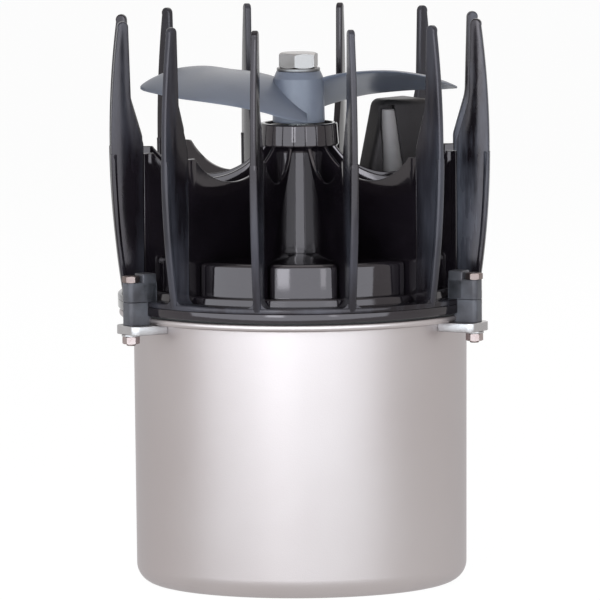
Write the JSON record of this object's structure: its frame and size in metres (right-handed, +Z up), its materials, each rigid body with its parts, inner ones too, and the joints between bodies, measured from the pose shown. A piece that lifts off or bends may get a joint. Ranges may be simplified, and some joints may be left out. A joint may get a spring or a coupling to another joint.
{
  "type": "water circulator",
  "caption": "Sealed stainless motor can with a ribbed black cover, a crown of guard fins and a propeller on top.",
  "frame": {"origin": "centre of the can's flat bottom", "axes": "+Z up along the shaft, towards the propeller; -Y towards the viewer of the picture; +X to the viewer's right"},
  "size_m": [0.202, 0.211, 0.3024],
  "materials": {
    "can_steel": "satin deep-drawn stainless steel",
    "bar_steel": "satin stainless steel bar",
    "cover_plastic": "gloss black moulding",
    "cage_plastic": "gloss black moulding",
    "tower_plastic": "satin black moulding",
    "gland_plastic": "matt black moulding",
    "propeller_plastic": "satin dark grey moulding",
    "fastener_steel": "bright stainless steel fasteners",
    "washer_steel": "stainless steel",
    "shaft_steel": "ground stainless steel",
    "bearing_steel": "polished bearing steel",
    "gasket_rubber": "black rubber",
    "seal_rubber": "brown-black nitrile rubber",
    "bell_casting": "die-cast aluminium",
    "core_steel": "laminated electrical steel",
    "winding_copper": "varnished copper wire",
    "rod_steel": "zinc-plated steel"
  },
  "bodies": {
    "housing": {"motor_can": "can_steel", "clamp_bars": "bar_steel", "motor_cover": "cover_plastic", "guard_cage": "cage_plastic", "guard_fins": "cage_plastic", "cover_lugs": "cover_plastic", "shaft_column": "cover_plastic", "cover_ribs": "cover_plastic", "cord_tower": "tower_plastic", "cord_gland": "gland_plastic", "ear_bolts": "fastener_steel", "ear_washers": "washer_steel", "ear_nuts": "fastener_steel", "cover_gasket": "gasket_rubber", "shaft_seal": "seal_rubber", "lower_end_bell": "bell_casting", "upper_end_bell": "bell_casting", "stator_core": "core_steel", "stator_windings": "winding_copper", "tie_rods": "rod_steel", "lower_bearing_outer": "bearing_steel", "upper_bearing_outer": "bearing_steel"},
    "rotor": {"drive_shaft": "shaft_steel", "shaft_key": "rod_steel", "rotor_core": "core_steel", "lower_bearing_inner": "bearing_steel", "upper_bearing_inner": "bearing_steel", "seal_slinger": "seal_rubber", "propeller": "propeller_plastic", "prop_washer": "washer_steel", "prop_bolt": "fastener_steel"}
  },
  "joints": [
    {"name": "shaft_spin", "type": "hinge", "parent": "housing", "child": "rotor", "pos_m": [0, 0, 0.26], "axis": [0, 0, 1], "continuous": true}
  ]
}
